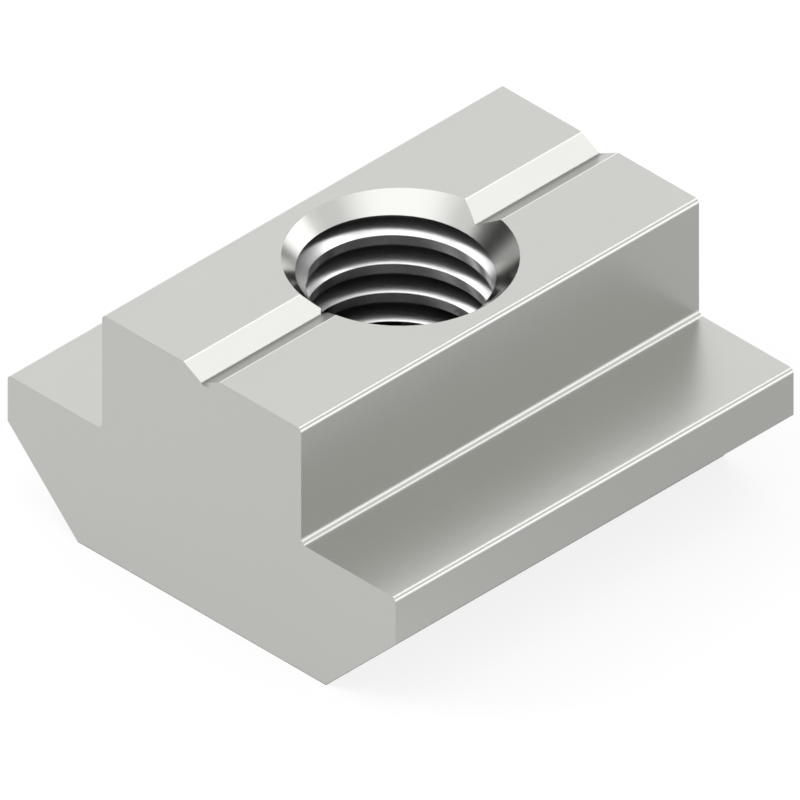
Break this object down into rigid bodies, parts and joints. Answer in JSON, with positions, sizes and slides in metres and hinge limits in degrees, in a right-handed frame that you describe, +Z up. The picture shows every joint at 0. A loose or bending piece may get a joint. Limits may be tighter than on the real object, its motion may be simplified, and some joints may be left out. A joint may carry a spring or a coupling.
{
  "type": "t slot nut",
  "caption": "Solid T shaped slide nut with a threaded through hole, bevelled underside and a centre line groove, slid into a slot to fasten things along it.",
  "frame": {"origin": "middle of the bottom face, on the axis of the thread", "axes": "+X along the slot, +Y across the slot, +Z up along the thread, out of the slot"},
  "size_m": [0.02, 0.0196, 0.0105],
  "materials": {
    "plated_steel": "smooth bright zinc plating, satin"
  },
  "bodies": {
    "root": {"slot_nut": "plated_steel"}
  },
  "joints": []
}
